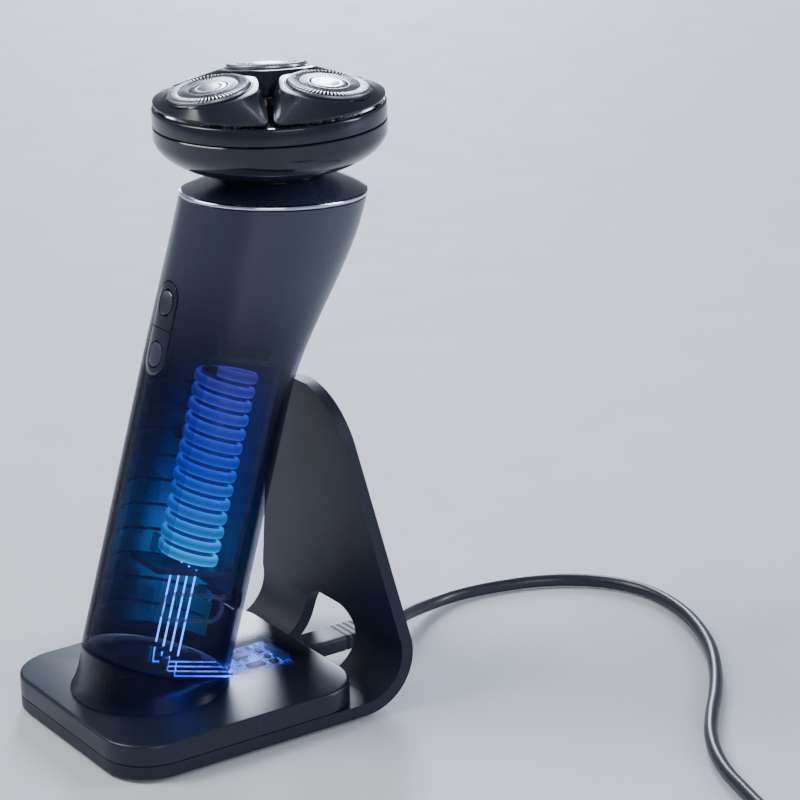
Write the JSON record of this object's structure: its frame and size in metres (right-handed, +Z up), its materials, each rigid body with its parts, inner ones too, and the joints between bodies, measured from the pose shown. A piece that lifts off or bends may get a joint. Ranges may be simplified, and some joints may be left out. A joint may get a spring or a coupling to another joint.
{
  "type": "rotary electric shaver",
  "caption": "Cordless rotary shaver with rocking cutter pods, lifting off a tilted charging stand with a bent bracket and USB lead",
  "frame": {"origin": "on the floor, middle of the underside of the stand's foot pad", "axes": "+Z up, -Y the front of the shaver (button side), +Y its back where the bracket stands, +X to its left hand side when seen from the front"},
  "size_m": [0.2387, 0.1868, 0.1729],
  "materials": {
    "foot_rubber": "matte anti-slip rubber",
    "bracket_paint": "fine matt dark paint on bent steel plate",
    "block_plastic": "dark satin plastic, slightly see-through over the board",
    "plinth_plastic": "dark satin plastic",
    "circuit_board": "solder-masked circuit board",
    "boss_plastic": "dark moulded plastic",
    "contact_gold": "gold-plated contact",
    "connector_rubber": "moulded dark over-mould",
    "cord_jacket": "smooth dark PVC jacket",
    "plug_steel": "nickel-plated steel",
    "grip_paint": "fine dark blue-grey paint, shown partly see-through",
    "panel_gloss": "gloss plastic",
    "button_gloss": "gloss plastic",
    "window_gloss": "dark display window",
    "rim_metal": "bright trim line",
    "shoulder_gloss": "satin-gloss plastic",
    "flap_rubber": "soft rubber",
    "chassis_plastic": "smoky moulded plastic",
    "battery_wrap": "shrink wrap",
    "coil_glow": "lit coil round the cell",
    "lead_glow": "lit charging lead",
    "boot_rubber": "gloss rubber boot",
    "motor_steel": "drawn steel can",
    "head_gloss": "high-gloss dark plastic",
    "band_gloss": "high-gloss dark plastic",
    "gear_nylon": "natural nylon",
    "pod_gloss": "satin-gloss dark plastic",
    "guard_steel": "ground steel, slotted",
    "guard_cap_steel": "satin steel cap",
    "cutter_steel": "hardened steel blades"
  },
  "bodies": {
    "stand": {"foot_pad": "foot_rubber", "bracket": "bracket_paint", "base_block": "block_plastic", "plinth": "plinth_plastic", "stand_board": "circuit_board", "dock_boss": "boss_plastic", "dock_contact_1": "contact_gold", "dock_contact_2": "contact_gold", "dock_lead_1": "lead_glow", "dock_lead_2": "lead_glow", "dock_lead_3": "lead_glow", "dock_lead_4": "lead_glow", "cable_connector": "connector_rubber", "cord": "cord_jacket", "cord_coil": "cord_jacket", "plug_body": "connector_rubber", "plug_shell": "plug_steel"},
    "handle": {"grip_shell": "grip_paint", "bottom_cap": "boss_plastic", "control_bezel": "panel_gloss", "display_window": "window_gloss", "rim_ring": "rim_metal", "shoulder_cover": "shoulder_gloss", "usb_port": "plug_steel", "chassis": "chassis_plastic", "battery_cell": "battery_wrap", "glow_coil": "coil_glow", "charge_lead_1": "lead_glow", "charge_lead_2": "lead_glow", "charge_lead_3": "lead_glow", "charge_lead_4": "lead_glow", "main_board": "circuit_board", "tact_switch": "boss_plastic", "neck_boot": "boot_rubber", "motor_can": "motor_steel", "motor_bracket": "boss_plastic"},
    "button": {"power_button": "button_gloss"},
    "flap": {"port_flap": "flap_rubber"},
    "rotor": {"motor_shaft": "contact_gold"},
    "head": {"head_shell": "head_gloss", "head_frame": "band_gloss", "gear_plate": "gear_nylon"},
    "centre_drive": {"centre_gear": "gear_nylon"},
    "drive_1": {"drive_gear_1": "gear_nylon"},
    "pod_body_1": {"pod_1": "pod_gloss", "guard_1": "guard_steel", "guard_cap_1": "guard_cap_steel"},
    "cutter_body_1": {"cutter_1": "cutter_steel"},
    "drive_2": {"drive_gear_2": "gear_nylon"},
    "pod_body_2": {"pod_2": "pod_gloss", "guard_2": "guard_steel", "guard_cap_2": "guard_cap_steel"},
    "cutter_body_2": {"cutter_2": "cutter_steel"},
    "drive_3": {"drive_gear_3": "gear_nylon"},
    "pod_body_3": {"pod_3": "pod_gloss", "guard_3": "guard_steel", "guard_cap_3": "guard_cap_steel"},
    "cutter_body_3": {"cutter_3": "cutter_steel"}
  },
  "joints": [
    {"name": "lift_off", "type": "slide", "parent": "stand", "child": "handle", "axis": [0, 0.299, 0.9542], "range_m": [0, 0.12]},
    {"name": "power_press", "type": "slide", "parent": "handle", "child": "button", "axis": [0, 0.9542, -0.299], "range_m": [0, 0.0008], "stiffness_N_per_m": 1500},
    {"name": "flap_hinge", "type": "hinge", "parent": "handle", "child": "flap", "pos_m": [-0.0062, 0.01589, 0.02969], "axis": [0, 0.299, 0.9542], "range_deg": [0, 110]},
    {"name": "head_release", "type": "slide", "parent": "handle", "child": "head", "axis": [0, 0, 1], "range_m": [0, 0.03]},
    {"name": "motor_spin", "type": "hinge", "parent": "handle", "child": "rotor", "pos_m": [0, 0.0356, 0.15], "axis": [0, 0, 1], "continuous": true},
    {"name": "centre_gear_spin", "type": "hinge", "parent": "head", "child": "centre_drive", "pos_m": [0, 0.0356, 0.158], "axis": [0, 0, 1], "continuous": true},
    {"name": "drive_gear_spin_1", "type": "hinge", "parent": "head", "child": "drive_1", "pos_m": [0, 0.0186, 0.158], "axis": [0, 0, 1], "continuous": true},
    {"name": "pod_tilt_1", "type": "hinge", "parent": "head", "child": "pod_body_1", "pos_m": [0, 0.0186, 0.165], "axis": [1, 0, 0], "range_deg": [-3, 3], "stiffness_Nm_per_rad": 0.08},
    {"name": "cutter_spin_1", "type": "hinge", "parent": "pod_body_1", "child": "cutter_body_1", "pos_m": [0, 0.0186, 0.165], "axis": [0, -0.1564, 0.9877], "continuous": true},
    {"name": "drive_gear_spin_2", "type": "hinge", "parent": "head", "child": "drive_2", "pos_m": [-0.01472, 0.0441, 0.158], "axis": [0, 0, 1], "continuous": true},
    {"name": "pod_tilt_2", "type": "hinge", "parent": "head", "child": "pod_body_2", "pos_m": [-0.01472, 0.0441, 0.165], "axis": [-0.5, -0.866, 0], "range_deg": [-3, 3], "stiffness_Nm_per_rad": 0.08},
    {"name": "cutter_spin_2", "type": "hinge", "parent": "pod_body_2", "child": "cutter_body_2", "pos_m": [-0.01472, 0.0441, 0.165], "axis": [-0.1355, 0.0782, 0.9877], "continuous": true},
    {"name": "drive_gear_spin_3", "type": "hinge", "parent": "head", "child": "drive_3", "pos_m": [0.01472, 0.0441, 0.158], "axis": [0, 0, 1], "continuous": true},
    {"name": "pod_tilt_3", "type": "hinge", "parent": "head", "child": "pod_body_3", "pos_m": [0.01472, 0.0441, 0.165], "axis": [-0.5, 0.866, 0], "range_deg": [-3, 3], "stiffness_Nm_per_rad": 0.08},
    {"name": "cutter_spin_3", "type": "hinge", "parent": "pod_body_3", "child": "cutter_body_3", "pos_m": [0.01472, 0.0441, 0.165], "axis": [0.1355, 0.0782, 0.9877], "continuous": true}
  ],
  "couplings": [
    {"joint": "centre_gear_spin", "follows": "motor_spin", "ratio": 1},
    {"joint": "drive_gear_spin_1", "follows": "motor_spin", "ratio": -0.81818},
    {"joint": "cutter_spin_1", "follows": "motor_spin", "ratio": -0.81818},
    {"joint": "drive_gear_spin_2", "follows": "motor_spin", "ratio": -0.81818},
    {"joint": "cutter_spin_2", "follows": "motor_spin", "ratio": -0.81818},
    {"joint": "drive_gear_spin_3", "follows": "motor_spin", "ratio": -0.81818},
    {"joint": "cutter_spin_3", "follows": "motor_spin", "ratio": -0.81818}
  ]
}
